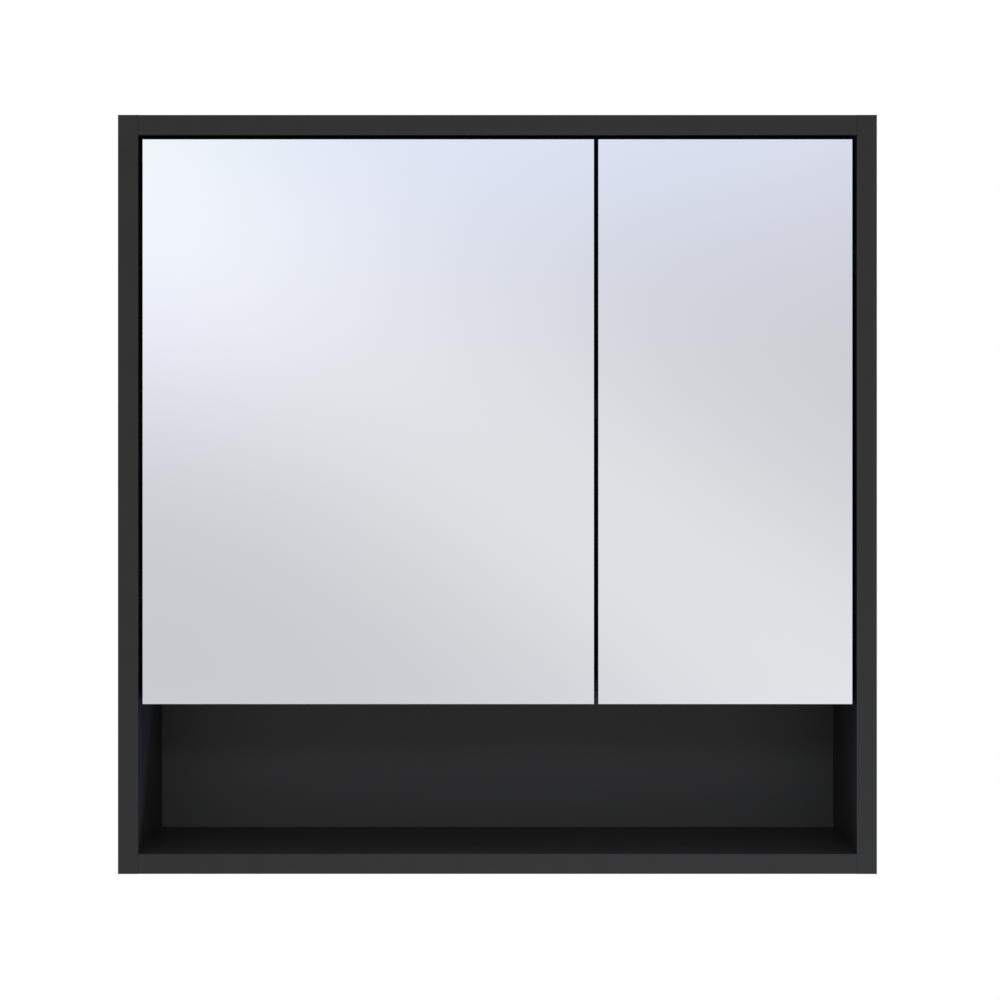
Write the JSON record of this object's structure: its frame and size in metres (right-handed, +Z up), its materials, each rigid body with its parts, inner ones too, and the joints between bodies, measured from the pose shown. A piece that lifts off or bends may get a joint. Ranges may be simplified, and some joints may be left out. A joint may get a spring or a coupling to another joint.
{
  "type": "medicine cabinet with mirror",
  "caption": "Square black wall cabinet with unequal inset mirror doors on concealed hinges, an inner shelf and an open niche along the bottom.",
  "frame": {"origin": "on the wall plane, midway between the entries of the two keyholes in the hanging brackets", "axes": "+X to the right seen from the front, +Y into the wall, +Z up"},
  "size_m": [0.6, 0.15, 0.6],
  "materials": {
    "black_board": "matt black melamine-faced board",
    "back_board": "thin black lacquered fibreboard",
    "front_edging": "matt black edge strip",
    "dowel_wood": "raw beech",
    "cam_zinc": "die-cast zinc",
    "cap_plastic": "black moulded plastic",
    "peg_steel": "nickel-plated steel",
    "bracket_steel": "zinc-plated sheet steel",
    "hinge_steel": "nickel-plated stamped steel",
    "screw_steel": "zinc-plated steel",
    "door_board": "matt black melamine-faced board",
    "door_edging": "matt black edge strip",
    "mirror_glass": "silvered float glass with ground edges",
    "bond_tape": "foam bonding tape",
    "latch_plastic": "dark grey moulded plastic",
    "plunger_plastic": "grey moulded plastic",
    "strike_steel": "zinc-plated steel"
  },
  "bodies": {
    "cabinet": {"left_side_panel": "black_board", "right_side_panel": "black_board", "top_panel": "black_board", "bottom_panel": "black_board", "divider_panel": "black_board", "shelf": "black_board", "back_panel": "back_board", "left_side_edging": "front_edging", "right_side_edging": "front_edging", "top_edging": "front_edging", "bottom_edging": "front_edging", "divider_edging": "front_edging", "shelf_edging": "front_edging", "dowels": "dowel_wood", "cam_discs": "cam_zinc", "cam_bolts": "cam_zinc", "cam_caps": "cap_plastic", "shelf_supports": "peg_steel", "left_hanging_bracket": "bracket_steel", "right_hanging_bracket": "bracket_steel", "bracket_screws": "screw_steel", "left_upper_hinge_plate": "hinge_steel", "left_lower_hinge_plate": "hinge_steel", "right_upper_hinge_plate": "hinge_steel", "right_lower_hinge_plate": "hinge_steel", "left_upper_hinge_arm": "hinge_steel", "left_lower_hinge_arm": "hinge_steel", "right_upper_hinge_arm": "hinge_steel", "right_lower_hinge_arm": "hinge_steel", "plate_screws": "screw_steel", "arm_screws": "screw_steel", "arm_pins": "hinge_steel", "left_latch_housing": "latch_plastic", "right_latch_housing": "latch_plastic", "latch_screws": "screw_steel"},
    "left_outer_links": {"left_outer_links": "hinge_steel"},
    "left_inner_links": {"left_inner_links": "hinge_steel"},
    "left_door": {"left_door_board": "door_board", "left_door_edging": "door_edging", "left_mirror": "mirror_glass", "left_mirror_tape": "bond_tape", "left_upper_hinge_cup": "hinge_steel", "left_lower_hinge_cup": "hinge_steel", "left_cup_screws": "screw_steel", "left_cup_pins": "hinge_steel", "left_strike_plate": "strike_steel"},
    "right_outer_links": {"right_outer_links": "hinge_steel"},
    "right_inner_links": {"right_inner_links": "hinge_steel"},
    "right_door": {"right_door_board": "door_board", "right_door_edging": "door_edging", "right_mirror": "mirror_glass", "right_mirror_tape": "bond_tape", "right_upper_hinge_cup": "hinge_steel", "right_lower_hinge_cup": "hinge_steel", "right_cup_screws": "screw_steel", "right_cup_pins": "hinge_steel", "right_strike_plate": "strike_steel"},
    "left_latch_plunger": {"left_latch_plunger": "plunger_plastic"},
    "right_latch_plunger": {"right_latch_plunger": "plunger_plastic"}
  },
  "joints": [
    {"name": "left_outer_fold", "type": "hinge", "parent": "cabinet", "child": "left_outer_links", "pos_m": [-0.2463, -0.114, 0], "axis": [0, 0, 1], "range_deg": [0, 25.9]},
    {"name": "left_door_swing", "type": "hinge", "parent": "left_outer_links", "child": "left_door", "pos_m": [-0.2702, -0.1354, 0], "axis": [0, 0, -1], "range_deg": [0, 120.9]},
    {"name": "left_inner_fold", "type": "hinge", "parent": "cabinet", "child": "left_inner_links", "pos_m": [-0.2444, -0.1367, 0], "axis": [0, 0, 1], "range_deg": [0, 41]},
    {"name": "left_plunger_slide", "type": "slide", "parent": "cabinet", "child": "left_latch_plunger", "axis": [0, -1, 0], "range_m": [0, 0.014]},
    {"name": "right_outer_fold", "type": "hinge", "parent": "cabinet", "child": "right_outer_links", "pos_m": [0.2463, -0.114, 0], "axis": [0, 0, -1], "range_deg": [0, 25.9]},
    {"name": "right_door_swing", "type": "hinge", "parent": "right_outer_links", "child": "right_door", "pos_m": [0.2702, -0.1354, 0], "axis": [0, 0, 1], "range_deg": [0, 120.9]},
    {"name": "right_inner_fold", "type": "hinge", "parent": "cabinet", "child": "right_inner_links", "pos_m": [0.2444, -0.1367, 0], "axis": [0, 0, -1], "range_deg": [0, 41]},
    {"name": "right_plunger_slide", "type": "slide", "parent": "cabinet", "child": "right_latch_plunger", "axis": [0, -1, 0], "range_m": [0, 0.014]}
  ],
  "couplings": [
    {"joint": "left_outer_fold", "follows": "left_door_swing", "ratio": 0.21422},
    {"joint": "left_inner_fold", "follows": "left_door_swing", "ratio": 0.33912},
    {"joint": "left_plunger_slide", "follows": "left_door_swing", "m_per_rad": 0.006634},
    {"joint": "right_outer_fold", "follows": "right_door_swing", "ratio": 0.21422},
    {"joint": "right_inner_fold", "follows": "right_door_swing", "ratio": 0.33912},
    {"joint": "right_plunger_slide", "follows": "right_door_swing", "m_per_rad": 0.006634}
  ]
}
